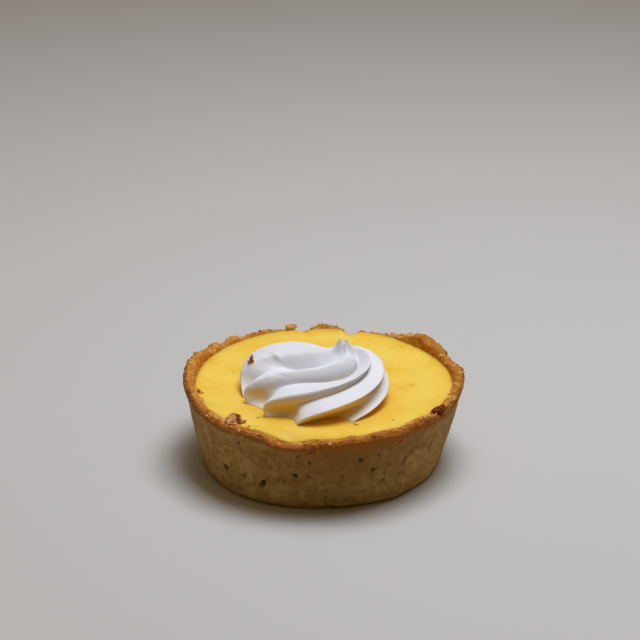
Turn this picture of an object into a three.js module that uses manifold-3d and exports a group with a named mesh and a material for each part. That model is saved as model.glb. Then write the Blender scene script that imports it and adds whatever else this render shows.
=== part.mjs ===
// A single-serving key lime pie: a hand-pressed shortcrust shell, a baked lime custard that
// fills it, and one off-centre swirl of piped meringue.
// Millimetres, +Z up. The origin is the centre of the flat underside and -Y is the front.
// Bearings are in degrees, anticlockwise from +X as seen from above.

import * as THREE from 'three';
import { mergeVertices } from 'three/addons/utils/BufferGeometryUtils.js';
import Module from 'manifold-3d';

const wasm = await Module();
wasm.setup();

// Shell: a tapered wall on a flat base
const BASE_RADIUS = 43.4;
const TOP_RADIUS = 50;
const FILLING_LEVEL = 29;
const WALL_THICKNESS = 3.7;
const FLOOR_THICKNESS = 4;
const CORNER_RADIUS = 2.4;
const WALL_BULGE = 0.85;
const SHELL_COLUMNS = 120;
const CORNER_STEPS = 3;
const WALL_STEPS = 10;
const RIM_STEPS = 7;
const MID_WALL_HEIGHT = 16;

// Rim: what stands above the filling, or is chipped away below it, round the edge
const RIM_OUTER_DROP = 1.8;
const RIM_INNER_DROP = { least: 0.4, most: 1.8, share: 0.55 };
const LIP_FLARE = 0.6;
const LIP_DEPTH = 5;
const CRUMB_SIZE = 0.7;
const RIM_SEEDS = { sideways: 40, upward: 60 };
const RIM_FEATURES = [
  { name: 'left wall', at: 180, spread: 27, rise: 4.5 },
  { name: 'left shoulder', at: 160, spread: 11, rise: 2.0 },
  { name: 'left end', at: 143, spread: 8, rise: 2.6 },
  { name: 'back left crumb', at: 121, spread: 6, rise: 1.0 },
  { name: 'back chip', at: 98, spread: 3.5, rise: -2.1 },
  { name: 'back lump', at: 91, spread: 5, rise: 1.2 },
  { name: 'back right chip', at: 79, spread: 5, rise: -2.0 },
  { name: 'back right dip', at: 64, spread: 10, rise: -1.4 },
  { name: 'right back wall', at: 36, spread: 15, rise: 3.4 },
  { name: 'right peak', at: 2, spread: 13, rise: 4.0 },
  { name: 'right wall', at: -16, spread: 14, rise: 2.4 },
  { name: 'front right rise', at: -46, spread: 8, rise: 1.3 },
  { name: 'front right lump', at: -65, spread: 8, rise: 1.3 },
  { name: 'front step', at: -79, spread: 5, rise: 0.7 },
  { name: 'front dip', at: -104, spread: 8, rise: -2.2 },
  { name: 'front left lump', at: -122, spread: 7, rise: 0.6 },
];

// Holes left in the baked wall by steam, largest first
const PITS = [
  { bearing: -116, height: 9, radius: 1.15 },
  { bearing: -136, height: 11, radius: 0.8 },
  { bearing: -36, height: 17.5, radius: 0.9 },
  { bearing: -52, height: 16, radius: 0.85 },
  { bearing: -101, height: 14.5, radius: 0.8 },
  { bearing: -68, height: 15.5, radius: 0.75 },
  { bearing: -126, height: 24, radius: 0.7 },
  { bearing: -74, height: 20.5, radius: 0.7 },
  { bearing: -95, height: 20, radius: 0.6 },
  { bearing: -62, height: 10.5, radius: 0.65 },
  { bearing: 172, height: 14, radius: 0.9 },
  { bearing: 118, height: 11, radius: 1.0 },
  { bearing: 71, height: 19, radius: 0.8 },
  { bearing: 24, height: 12, radius: 0.9 },
];
const PIT_DEPTH = 0.35;

// The smooth unevenness of a wall pressed into its tin by thumb, as waves round the shell
const THUMB_WAVES = [
  { lobes: 3, depth: 0.35, phase: 1.1, twist: 0 },
  { lobes: 5, depth: 0.25, phase: -0.4, twist: 0.1 },
];

// Custard: a plug in the shell, level under the swirl and drawn down where the rim is low
const CLEARANCE = 0.3;
const FILLING_COLUMNS = 60;
const FILLING_RINGS = [0.2, 0.42, 0.62, 0.78, 0.89, 0.96, 1];
const EDGE_ZONE = 5;
const EDGE_COVER = 0.5;

// Meringue: a dome whose crown leans back and right, pressed out in deep ridges. Ridge bearings
// are taken about the crown. Each ridge runs straight up from its foot, sweeps round the dome
// about a share of the way up and runs on into the crown; the left ones also curl at the foot.
// The dome's lobes swell or sink one side of it, its heel is the left foot that spreads, and the
// skirt is where the grooves fill out again as they meet the custard.
const SWIRL = {
  foot: new THREE.Vector2(-2, -12.2),
  crown: new THREE.Vector2(7.1, -3.1),
  radius: 26.4,
  height: 14.6,
  roundness: 1.04,
  lift: 0.77,
  lean: 2.67,
  tuck: 0.065,
  tuckFade: 6,
  heel: { at: -170, spread: 16, swell: 0.05, fade: 2 },
  lobes: [
    { name: 'left shoulder', at: 157, spread: 36, swell: 0.42, climb: 1 },
    { name: 'back hollow', at: 98, spread: 46, swell: -0.62, climb: 1.9 },
  ],
  curlFade: 0.12,
  grooveSharpness: 0.85,
  grooveFade: 3,
  skirt: { fill: 0.65, fade: 0.05 },
};
const RIDGES = [
  { bearing: -181, turn: 113, sweep: 1.05, softness: 0.097, curl: 19, groove: 3.8 },
  { bearing: -160, turn: 140, sweep: 0.81, softness: 0.13, curl: 5, groove: 3.8 },
  { bearing: -143, turn: 198, sweep: 0.63, softness: 0.13, curl: 6.5, groove: 3.9 },
  { bearing: -120, turn: 171, sweep: 0.4, softness: 0.11, curl: 0, groove: 3.8 },
  { bearing: -121.5, turn: 187, sweep: 0.165, softness: 0.12, curl: 0, groove: 3.4 },
  { bearing: -75, turn: 160, sweep: 0.1, softness: 0.145, curl: 0, groove: 3.4 },
  { bearing: -4, turn: 105, sweep: 0.17, softness: 0.16, curl: 0, groove: 3.6 },
  { bearing: 72, turn: 52, sweep: 0.42, softness: 0.14, curl: 0, groove: 3.6 },
  { bearing: 127, turn: 66, sweep: 0.83, softness: 0.1, curl: 0, groove: 1.1 },
];
const PROBE = { bearing: 1, share: 0.01, highest: 0.999 };
const COLUMNS_PER_RIDGE = 8;
const SWIRL_ROWS = 30;
const TIPS = [
  { x: 5.9, y: -3.2, height: 18.5, lean: -0.25 },
  { x: 8.4, y: -3, height: 19, lean: 0.12 },
];
const TIP_PROFILE = { footRadius: 2.5, pointRadius: 0.3, depth: 5.5, steps: 5, sides: 9 };

// Loose crumbs stuck where they fell
const CRUMB_ROUGHNESS = 0.3;
const FILLING_CRUMB = { x: -30.3, y: -29.6, raised: 0.5, bearing: 20, stretch: [2.7, 1.8, 1.5], seed: 7 };
const SWIRL_CRUMB = { ridge: 0, share: 0.38, bearing: 0, stretch: [1.1, 1, 1.9], seed: 11 };
const RIM_CRUMB = { bearing: -37, rise: 1, inset: 1.2, stretch: [1.4, 2.4, 1.4], seed: 3 };

const COLOURS = { crust: 0x9a6f3c, custard: 0xf2c84b, meringue: 0xeceaea };

const MERGE_DISTANCE = 1e-4;

const radians = THREE.MathUtils.degToRad;
const clamp = THREE.MathUtils.clamp;

/** A point at a bearing, a distance from the axis and a height. */
function polar(bearing, radius, height) {
  const angle = radians(bearing);
  return new THREE.Vector3(radius * Math.cos(angle), radius * Math.sin(angle), height);
}

/** A bell-shaped bump of height 1 at one bearing, which fades to either side. */
function bump(bearing, at, spread) {
  const gap = Math.abs(((bearing - at + 900) % 360) - 180);
  return Math.exp(-((gap / spread) ** 2));
}

/** A repeatable scatter between -0.5 and 0.5. */
function scatter(a, b) {
  const mixed = Math.sin(a * 12.9898 + b * 78.233) * 43758.5453;
  return mixed - Math.floor(mixed) - 0.5;
}

/** The list 0 to count - 1, each passed through a function. */
function steps(count, makeItem) {
  return Array.from({ length: count }, (_, index) => makeItem(index));
}

/** The two triangles of a four-sided patch, split along its shorter diagonal. */
function patchTriangles(points, [a, b, c, d]) {
  const rising = points[a].distanceTo(points[c]);
  const falling = points[b].distanceTo(points[d]);
  return rising <= falling ? [a, b, c, a, c, d] : [a, b, d, b, c, d];
}

/** A closed body from a stack of rings of points, with a pole before the first and after the last. */
function ringBody(firstPole, rings, lastPole) {
  const columns = rings[0].length;
  const points = [firstPole, ...rings.flat(), lastPole];
  const lastIndex = points.length - 1;
  const topStart = lastIndex - columns;
  const triangles = [];
  for (let column = 0; column < columns; column += 1) {
    const next = (column + 1) % columns;
    triangles.push(0, 1 + next, 1 + column);
    for (let lower = 1; lower < topStart; lower += columns) {
      const upper = lower + columns;
      const corners = [lower + column, lower + next, upper + next, upper + column];
      triangles.push(...patchTriangles(points, corners));
    }
    triangles.push(topStart + column, topStart + next, lastIndex);
  }
  const geometry = new THREE.BufferGeometry().setFromPoints(points);
  geometry.setIndex(triangles);
  return geometry;
}

/** Turns a closed geometry into a solid that can be joined and cut. */
function solidFrom(geometry) {
  const bare = geometry.clone();
  bare.deleteAttribute('normal');
  bare.deleteAttribute('uv');
  const merged = mergeVertices(bare, MERGE_DISTANCE);
  return new wasm.Manifold(new wasm.Mesh({
    numProp: 3,
    vertProperties: new Float32Array(merged.attributes.position.array),
    triVerts: new Uint32Array(merged.index.array),
  }));
}

/** Turns a solid back into a geometry that can be drawn. */
function geometryFrom(solid) {
  const mesh = solid.getMesh();
  const geometry = new THREE.BufferGeometry();
  geometry.setAttribute('position', new THREE.BufferAttribute(mesh.vertProperties, 3));
  geometry.setIndex(new THREE.BufferAttribute(mesh.triVerts, 1));
  geometry.computeVertexNormals();
  return geometry;
}

/** A rough, faceted crumb, stretched along each axis and turned to its bearing. */
function crumb({ stretch, bearing, seed }, at) {
  const geometry = new THREE.IcosahedronGeometry(1, 1);
  geometry.scale(...stretch);
  geometry.rotateZ(radians(bearing));
  const merged = mergeVertices(geometry.deleteAttribute('normal').deleteAttribute('uv'), MERGE_DISTANCE);
  const position = merged.attributes.position;
  for (let index = 0; index < position.count; index += 1) {
    const rough = 1 + CRUMB_ROUGHNESS * scatter(index, seed);
    const corner = new THREE.Vector3().fromBufferAttribute(position, index).multiplyScalar(rough);
    position.setXYZ(index, ...corner.add(at));
  }
  return solidFrom(merged);
}

/** How far the rim stands above the filling at a bearing. */
function rimRise(bearing) {
  return RIM_FEATURES.reduce((sum, { at, spread, rise }) => sum + rise * bump(bearing, at, spread), 0);
}

/** How far the wall stands in or out from a true cone at a bearing and height. */
function thumbWave(bearing, height) {
  return THUMB_WAVES.reduce((sum, { lobes, depth, phase, twist }) => (
    sum + depth * Math.sin(lobes * radians(bearing) + phase + height * twist)
  ), 0);
}

/** The wall's outer radius, before any fine roughness. */
function outerRadius(bearing, height) {
  const taper = (Math.max(height, 0) / FILLING_LEVEL) ** WALL_BULGE;
  return BASE_RADIUS + (TOP_RADIUS - BASE_RADIUS) * taper + thumbWave(bearing, height);
}

/** The wall's inner radius, which the filling follows. */
function innerRadius(bearing, height) {
  return outerRadius(bearing, height) - WALL_THICKNESS;
}

/** The points of the shell's wall at one bearing, from the base over the rim to the floor. */
function shellColumn(bearing, column) {
  const rise = rimRise(bearing);
  const rimTop = FILLING_LEVEL + rise;
  const shoulder = rimTop - RIM_OUTER_DROP;
  const innerDrop = clamp(rise * RIM_INNER_DROP.share, RIM_INNER_DROP.least, RIM_INNER_DROP.most);
  const cornerTop = outerRadius(bearing, CORNER_RADIUS);
  const corner = steps(CORNER_STEPS, (step) => {
    const angle = (step / CORNER_STEPS) * (Math.PI / 2);
    const radius = cornerTop - CORNER_RADIUS * (1 - Math.sin(angle));
    return polar(bearing, radius, CORNER_RADIUS * (1 - Math.cos(angle)));
  });
  const wall = steps(WALL_STEPS, (step) => {
    const height = CORNER_RADIUS + ((shoulder - CORNER_RADIUS) * step) / WALL_STEPS;
    const flare = LIP_FLARE * clamp(1 - (shoulder - height) / LIP_DEPTH, 0, 1);
    const dimple = CRUMB_SIZE * scatter(column, step);
    return polar(bearing, outerRadius(bearing, height) + flare + dimple, height);
  });
  const inside = innerRadius(bearing, rimTop - innerDrop);
  const outside = outerRadius(bearing, shoulder) + LIP_FLARE;
  const rim = steps(RIM_STEPS + 1, (step) => {
    const angle = (step / RIM_STEPS) * Math.PI;
    const drop = angle < Math.PI / 2 ? RIM_OUTER_DROP : innerDrop;
    const crumbly = CRUMB_SIZE * Math.sin(angle);
    const middle = (outside + inside) / 2;
    const sideways = crumbly * scatter(column, step + RIM_SEEDS.sideways);
    const upward = crumbly * scatter(column, step + RIM_SEEDS.upward);
    const radius = middle + ((outside - inside) / 2) * Math.cos(angle) + sideways;
    const height = rimTop - drop * (1 - Math.sin(angle)) + upward;
    return polar(bearing, radius, height);
  });
  const inner = [MID_WALL_HEIGHT, FLOOR_THICKNESS].map((height) => (
    polar(bearing, innerRadius(bearing, height), height)
  ));
  return [...corner, ...wall, ...rim, ...inner];
}

/** The pastry shell: a cup with an uneven rim, pitted outside. */
function makeCrust() {
  const columns = steps(SHELL_COLUMNS, (column) => shellColumn((column * 360) / SHELL_COLUMNS, column));
  const rings = columns[0].map((_, row) => columns.map((points) => points[row]));
  const underside = new THREE.Vector3(0, 0, 0);
  const floor = new THREE.Vector3(0, 0, FLOOR_THICKNESS);
  let shell = solidFrom(ringBody(underside, rings, floor));
  for (const { bearing, height, radius } of PITS) {
    const ball = new THREE.IcosahedronGeometry(radius, 1);
    const reach = outerRadius(bearing, height) - radius * PIT_DEPTH;
    ball.translate(...polar(bearing, reach, height));
    shell = shell.subtract(solidFrom(ball));
  }
  const crumbHeight = FILLING_LEVEL + RIM_CRUMB.rise;
  const crumbRadius = outerRadius(RIM_CRUMB.bearing, crumbHeight) - RIM_CRUMB.inset;
  const place = polar(RIM_CRUMB.bearing, crumbRadius, crumbHeight);
  return geometryFrom(shell.add(crumb(RIM_CRUMB, place)));
}

/** The custard's top at a bearing and a distance in from its edge. */
function fillingHeight(bearing, inset) {
  const edge = Math.min(FILLING_LEVEL, FILLING_LEVEL + rimRise(bearing) + EDGE_COVER);
  const fade = THREE.MathUtils.smoothstep(inset, 0, EDGE_ZONE);
  return THREE.MathUtils.lerp(edge, FILLING_LEVEL, fade);
}

/** The custard: a plug that follows the shell's inner wall. */
function makeFilling() {
  const bearings = steps(FILLING_COLUMNS, (column) => (column * 360) / FILLING_COLUMNS);
  const bottom = FLOOR_THICKNESS + CLEARANCE;
  const sides = [bottom, MID_WALL_HEIGHT].map((height) => (
    bearings.map((bearing) => polar(bearing, innerRadius(bearing, height) - CLEARANCE, height))
  ));
  const top = FILLING_RINGS.toReversed().map((share) => bearings.map((bearing) => {
    const edge = innerRadius(bearing, FILLING_LEVEL) - CLEARANCE;
    return polar(bearing, edge * share, fillingHeight(bearing, edge * (1 - share)));
  }));
  const poles = [new THREE.Vector3(0, 0, bottom), new THREE.Vector3(0, 0, FILLING_LEVEL)];
  const plug = solidFrom(ringBody(poles[0], [...sides, ...top], poles[1]));
  const place = new THREE.Vector3(FILLING_CRUMB.x, FILLING_CRUMB.y, FILLING_LEVEL + FILLING_CRUMB.raised);
  return geometryFrom(plug.add(crumb(FILLING_CRUMB, place)));
}

/** A point on the plain dome, at a bearing about the crown and a share of the way up. */
function domePoint(bearing, share) {
  const angle = (share * Math.PI) / 2;
  const rise = Math.sin(angle) ** SWIRL.lift;
  const { heel, lobes, tuck, tuckFade } = SWIRL;
  const heeled = 1 + heel.swell * bump(bearing, heel.at, heel.spread) * (1 - share) ** heel.fade;
  const swollen = lobes.reduce((sum, { at, spread, swell, climb }) => (
    sum + swell * bump(bearing, at, spread) * Math.sin(share ** climb * Math.PI)
  ), heeled);
  const tucked = 1 - tuck * (1 - share) ** tuckFade;
  const radius = SWIRL.radius * Math.cos(angle) ** SWIRL.roundness * tucked * swollen;
  const centre = SWIRL.foot.clone().lerp(SWIRL.crown, rise ** SWIRL.lean);
  const inset = SWIRL.crown.clone().sub(centre);
  const direction = new THREE.Vector2(1, 0).rotateAround(new THREE.Vector2(), radians(bearing));
  const along = direction.dot(inset);
  const reach = Math.sqrt(Math.max(along ** 2 - inset.lengthSq() + radius ** 2, 0)) - along;
  const { x, y } = SWIRL.crown.clone().addScaledVector(direction, reach);
  return new THREE.Vector3(x, y, FILLING_LEVEL + CLEARANCE + SWIRL.height * rise);
}

/** The dome's outward direction at a bearing and a share of the way up. */
function domeNormal(bearing, share) {
  const higher = Math.min(share + PROBE.share, PROBE.highest);
  const lower = Math.max(share - PROBE.share, 0);
  const along = domePoint(bearing + PROBE.bearing, share).sub(domePoint(bearing - PROBE.bearing, share));
  const up = domePoint(bearing, higher).sub(domePoint(bearing, lower));
  return along.cross(up).normalize();
}

/** The bearing of a ridge's crest at a share of the way up. */
function crestBearing(ridge, share) {
  const { bearing, turn, sweep, softness, curl } = RIDGES[ridge % RIDGES.length];
  const lap = 360 * Math.floor(ridge / RIDGES.length);
  const swept = turn / (1 + Math.exp((sweep - share) / softness));
  return bearing + lap + swept + curl * Math.exp(-share / SWIRL.curlFade);
}

/** A point on the swirl: around counts ridges, and share is how far up it is. */
function swirlPoint(around, share) {
  const ridge = Math.floor(around);
  const across = around - ridge;
  const bearing = THREE.MathUtils.lerp(crestBearing(ridge, share), crestBearing(ridge + 1, share), across);
  const { grooveFade, grooveSharpness, skirt } = SWIRL;
  const open = (1 - share ** grooveFade) * (1 - skirt.fill * Math.exp(-share / skirt.fade));
  const groove = RIDGES[ridge].groove * open * Math.sin(across * Math.PI) ** grooveSharpness;
  const point = domePoint(bearing, share).addScaledVector(domeNormal(bearing, share), -groove);
  point.z = Math.max(point.z, FILLING_LEVEL + CLEARANCE);
  return point;
}

/** One of the two points pulled up at the crown as the bag was lifted away. */
function swirlTip({ x, y, height, lean }) {
  const { footRadius, pointRadius, depth, steps: count, sides } = TIP_PROFILE;
  const profile = steps(count + 1, (step) => {
    const up = step / count;
    return new THREE.Vector2(pointRadius + (footRadius - pointRadius) * (1 - up) ** 2, up * depth);
  });
  const closed = [new THREE.Vector2(0, 0), ...profile, new THREE.Vector2(0, depth)];
  const cone = new THREE.LatheGeometry(closed, sides);
  cone.rotateX(Math.PI / 2);
  cone.translate(0, 0, -depth);
  cone.rotateY(lean);
  cone.translate(x, y, FILLING_LEVEL + height);
  return solidFrom(cone);
}

/** The piped meringue. */
function makeSwirl() {
  const columns = RIDGES.length * COLUMNS_PER_RIDGE;
  const rings = steps(SWIRL_ROWS, (row) => (
    steps(columns, (column) => swirlPoint(column / COLUMNS_PER_RIDGE, row / SWIRL_ROWS))
  ));
  const seat = FILLING_LEVEL + CLEARANCE;
  const underside = new THREE.Vector3(SWIRL.foot.x, SWIRL.foot.y, seat);
  const crown = new THREE.Vector3(SWIRL.crown.x, SWIRL.crown.y, seat + SWIRL.height);
  const dome = solidFrom(ringBody(underside, rings, crown));
  const tipped = TIPS.reduce((body, tip) => body.add(swirlTip(tip)), dome);
  const perch = swirlPoint(SWIRL_CRUMB.ridge, SWIRL_CRUMB.share);
  return geometryFrom(tipped.add(crumb(SWIRL_CRUMB, perch)));
}

/** A named mesh with its own finish. */
function part(name, geometry, color, roughness) {
  const material = new THREE.MeshStandardMaterial({ color, roughness, metalness: 0 });
  const mesh = new THREE.Mesh(geometry, material);
  mesh.name = name;
  return mesh;
}

const pie = new THREE.Group();
pie.add(part('crust', makeCrust(), COLOURS.crust, 0.85));
pie.add(part('filling', makeFilling(), COLOURS.custard, 0.35));
pie.add(part('meringue', makeSwirl(), COLOURS.meringue, 0.55));

export default pie;
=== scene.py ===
import logging
import math
from collections.abc import Mapping, Sequence
from dataclasses import dataclass
from enum import Enum

import bmesh
import bpy
import numpy as np
from mathutils import Euler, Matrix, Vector, noise


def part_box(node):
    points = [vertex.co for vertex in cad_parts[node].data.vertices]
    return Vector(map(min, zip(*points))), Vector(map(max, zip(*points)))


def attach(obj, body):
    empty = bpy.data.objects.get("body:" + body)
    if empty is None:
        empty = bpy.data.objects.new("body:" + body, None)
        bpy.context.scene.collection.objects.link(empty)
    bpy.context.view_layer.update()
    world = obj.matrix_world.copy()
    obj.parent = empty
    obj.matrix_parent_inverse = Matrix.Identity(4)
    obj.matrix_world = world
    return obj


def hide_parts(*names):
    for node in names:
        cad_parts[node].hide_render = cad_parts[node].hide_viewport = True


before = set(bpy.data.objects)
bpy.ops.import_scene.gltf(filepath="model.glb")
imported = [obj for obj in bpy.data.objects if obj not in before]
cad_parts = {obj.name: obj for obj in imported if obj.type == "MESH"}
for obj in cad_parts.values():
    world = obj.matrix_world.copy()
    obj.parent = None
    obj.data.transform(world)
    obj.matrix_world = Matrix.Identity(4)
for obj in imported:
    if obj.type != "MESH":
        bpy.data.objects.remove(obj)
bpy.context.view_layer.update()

log = logging.getLogger("key_lime_pie")

# A single-serving key lime pie: a shortcrust shell, a baked lime custard and one piped swirl of
# meringue. Shapes are worked out in millimetres, with the origin at the centre of the flat
# underside, +Z up and -Y the front, and are turned to metres as their meshes are made. Bearings
# are in degrees, anticlockwise from +X as seen from above.

MM = 0.001
BODY = "root"
CLEARANCE = 0.3
CUSTARD_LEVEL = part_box("meringue")[0].z / MM - CLEARANCE


class Slot(Enum):
    """The record's material slots."""

    CRUST = "crust"
    CUSTARD = "custard"
    MERINGUE = "meringue"


class Node(Enum):
    """The solids that the pieces stand for."""

    CRUST = "crust"
    FILLING = "filling"
    MERINGUE = "meringue"


def linear(colour: str) -> tuple[float, float, float, float]:
    """Turns an sRGB hex colour to linear light.

    Args:
        colour: Six hex digits, such as "f2c84b".

    Returns:
        Red, green, blue and an alpha of 1.
    """
    channels = [int(colour[at:at + 2], 16) / 255 for at in (0, 2, 4)]
    red, green, blue = (c / 12.92 if c <= 0.04045 else ((c + 0.055) / 1.055) ** 2.4 for c in channels)
    return red, green, blue, 1.0


def pattern_scale(size: float) -> float:
    """The texture scale that makes one lump or grain of a pattern about size millimetres wide."""
    return 1 / (size * MM)


def bell(bearing: np.ndarray, at: float, spread: float) -> np.ndarray:
    """A bump of height 1 at one bearing, which fades to either side."""
    gap = np.abs((bearing - at + 900) % 360 - 180)
    return np.exp(-((gap / spread) ** 2))


def ease(low: float, high: float, value: np.ndarray) -> np.ndarray:
    """A smooth step from 0 at low to 1 at high."""
    share = np.clip((value - low) / (high - low), 0, 1)
    return share * share * (3 - 2 * share)


def lumps(points: np.ndarray, size: float, seed: int) -> np.ndarray:
    """Smooth, repeatable random heights.

    Args:
        points: Places in millimetres, with x, y and z along the last axis.
        size: How wide one lump is, in millimetres.
        seed: Which of the random patterns to use.

    Returns:
        One height between about -1 and 1 for each point.
    """
    shift = np.array([17.3, 5.1, 9.7]) * seed
    flat = (points / size + shift).reshape(-1, 3)
    heights = np.array([noise.noise(Vector(point)) for point in flat])
    return heights.reshape(points.shape[:-1])


@dataclass(frozen=True)
class Waves:
    """One layer of random relief: how high it stands, how wide its lumps are, and its pattern."""

    height: float
    size: float
    seed: int


def relief(points: np.ndarray, layers: Sequence[Waves]) -> np.ndarray:
    """The height at each point of several layers of random relief, laid on each other."""
    return sum(layer.height * lumps(points, layer.size, layer.seed) for layer in layers)


def clefts(points: np.ndarray, size: float, seed: int) -> np.ndarray:
    """Repeatable grains with clefts between them.

    Args:
        points: Places in millimetres, with x, y and z along the last axis.
        size: How wide one grain is, in millimetres.
        seed: Which of the random patterns to use.

    Returns:
        One height for each point, from 0 in a cleft to about 1 on the middle of a grain.
    """
    shift = np.array([11.9, 7.3, 4.1]) * seed
    flat = (points / size + shift).reshape(-1, 3)
    nearest = (noise.voronoi(Vector(point))[0] for point in flat)
    heights = np.array([distances[1] - distances[0] for distances in nearest])
    return np.clip(heights.reshape(points.shape[:-1]) / 0.7, 0, 1)


def polar(bearing: np.ndarray, radius: np.ndarray, height: np.ndarray) -> np.ndarray:
    """Places points round the axis.

    Args:
        bearing: Each point's bearing.
        radius: Its distance from the axis.
        height: Its height.

    Returns:
        The points, with x, y and z along a new last axis.
    """
    angle = np.radians(bearing)
    parts = np.broadcast_arrays(radius * np.cos(angle), radius * np.sin(angle), height)
    return np.stack(parts, -1)


def grid_normals(grid: np.ndarray) -> np.ndarray:
    """Works out which way a surface faces.

    Args:
        grid: Points whose columns close round and whose rows run upward.

    Returns:
        The outward direction at each point, of length 1.
    """
    around = np.roll(grid, -1, axis=1) - np.roll(grid, 1, axis=1)
    upward = np.gradient(grid, axis=0)
    normal = np.cross(around, upward)
    return normal / np.maximum(np.linalg.norm(normal, axis=-1, keepdims=True), 1e-9)


def new_piece(name: str, points: np.ndarray, faces: Sequence[Sequence[int]]) -> bpy.types.Object:
    """Makes a smooth-shaded mesh object at the origin.

    Args:
        name: The piece's name.
        points: Vertices in millimetres.
        faces: Each face's vertex numbers.

    Returns:
        The new object, linked to the scene.
    """
    mesh = bpy.data.meshes.new(name)
    mesh.from_pydata((points * MM).tolist(), [], faces)
    mesh.polygons.foreach_set("use_smooth", [True] * len(mesh.polygons))
    mesh.update()
    piece = bpy.data.objects.new(name, mesh)
    bpy.context.scene.collection.objects.link(piece)
    return piece


def closed_grid(
    name: str, grid: np.ndarray, first: Sequence[float], last: Sequence[float],
) -> bpy.types.Object:
    """Makes a closed body of rings of points, with a pole below the first and above the last.

    Args:
        name: The piece's name.
        grid: Points in millimetres, by row, column and axis.
        first: The pole that the first row fans in to.
        last: The pole that the last row fans in to.

    Returns:
        The new object.
    """
    rows, columns, _ = grid.shape
    points = np.concatenate([[first], grid.reshape(-1, 3), [last]])
    here = np.arange(columns)
    beside = (here + 1) % columns
    lower = 1 + np.arange(rows - 1)[:, None] * columns
    upper = lower + columns
    quads = np.stack([lower + here, lower + beside, upper + beside, upper + here], -1).reshape(-1, 4)
    top = 1 + (rows - 1) * columns
    bottom_fan = np.stack([np.zeros_like(here), 1 + beside, 1 + here], -1)
    top_fan = np.stack([top + here, top + beside, np.full_like(here, len(points) - 1)], -1)
    return new_piece(name, points, bottom_fan.tolist() + quads.tolist() + top_fan.tolist())


def store(piece: bpy.types.Object, name: str, values: np.ndarray) -> None:
    """Keeps one number for each point of a closed grid, for its material; the poles get 0."""
    attribute = piece.data.attributes.new(name, "FLOAT", "POINT")
    attribute.data.foreach_set("value", np.concatenate([[0], values.ravel(), [0]]))


def dress(piece: bpy.types.Object, material: bpy.types.Material, slot: Slot, *nodes: Node) -> None:
    """Gives a piece its material and its place in the object.

    Args:
        piece: The piece.
        material: Its material.
        slot: The record's slot that the material belongs to; not used.
        *nodes: The solids that it stands for.
    """
    piece.data.materials.append(material)
    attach(piece, BODY)
    if nodes:
        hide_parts(*(node.value for node in nodes))
    log.info("%s: %d faces, %s", piece.name, len(piece.data.polygons), material.name)


def add_node(
    tree: bpy.types.NodeTree,
    kind: str,
    settings: Mapping[str | int, object] | None = None,
    links: Mapping[str | int, bpy.types.NodeSocket] | None = None,
) -> bpy.types.Node:
    """Adds a node to a material.

    Args:
        tree: The material's nodes.
        kind: The node's type, without the words ShaderNode that every one starts with.
        settings: Values by the name of a property, or by the name or number of an input.
        links: The outputs that feed it, by the name or number of the input.

    Returns:
        The new node.
    """
    node = tree.nodes.new("ShaderNode" + kind)
    for name, value in (settings or {}).items():
        if isinstance(name, str) and hasattr(node, name):
            setattr(node, name, value)
        else:
            node.inputs[name].default_value = value
    for name, output in (links or {}).items():
        tree.links.new(output, node.inputs[name])
    return node


def new_material(name: str) -> tuple[bpy.types.Material, bpy.types.NodeTree, bpy.types.NodeSocket]:
    """Starts an empty material.

    Args:
        name: The material's name.

    Returns:
        The material, its nodes and the place of each point on the object, in metres.
    """
    material = bpy.data.materials.new(name)
    material.use_nodes = True
    tree = material.node_tree
    tree.nodes.clear()
    return material, tree, add_node(tree, "TexCoord").outputs["Object"]


def close_material(tree: bpy.types.NodeTree, surface: bpy.types.Node) -> None:
    """Sends a finished shader to the material's surface."""
    add_node(tree, "OutputMaterial", links={"Surface": surface.outputs["BSDF"]})


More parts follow.
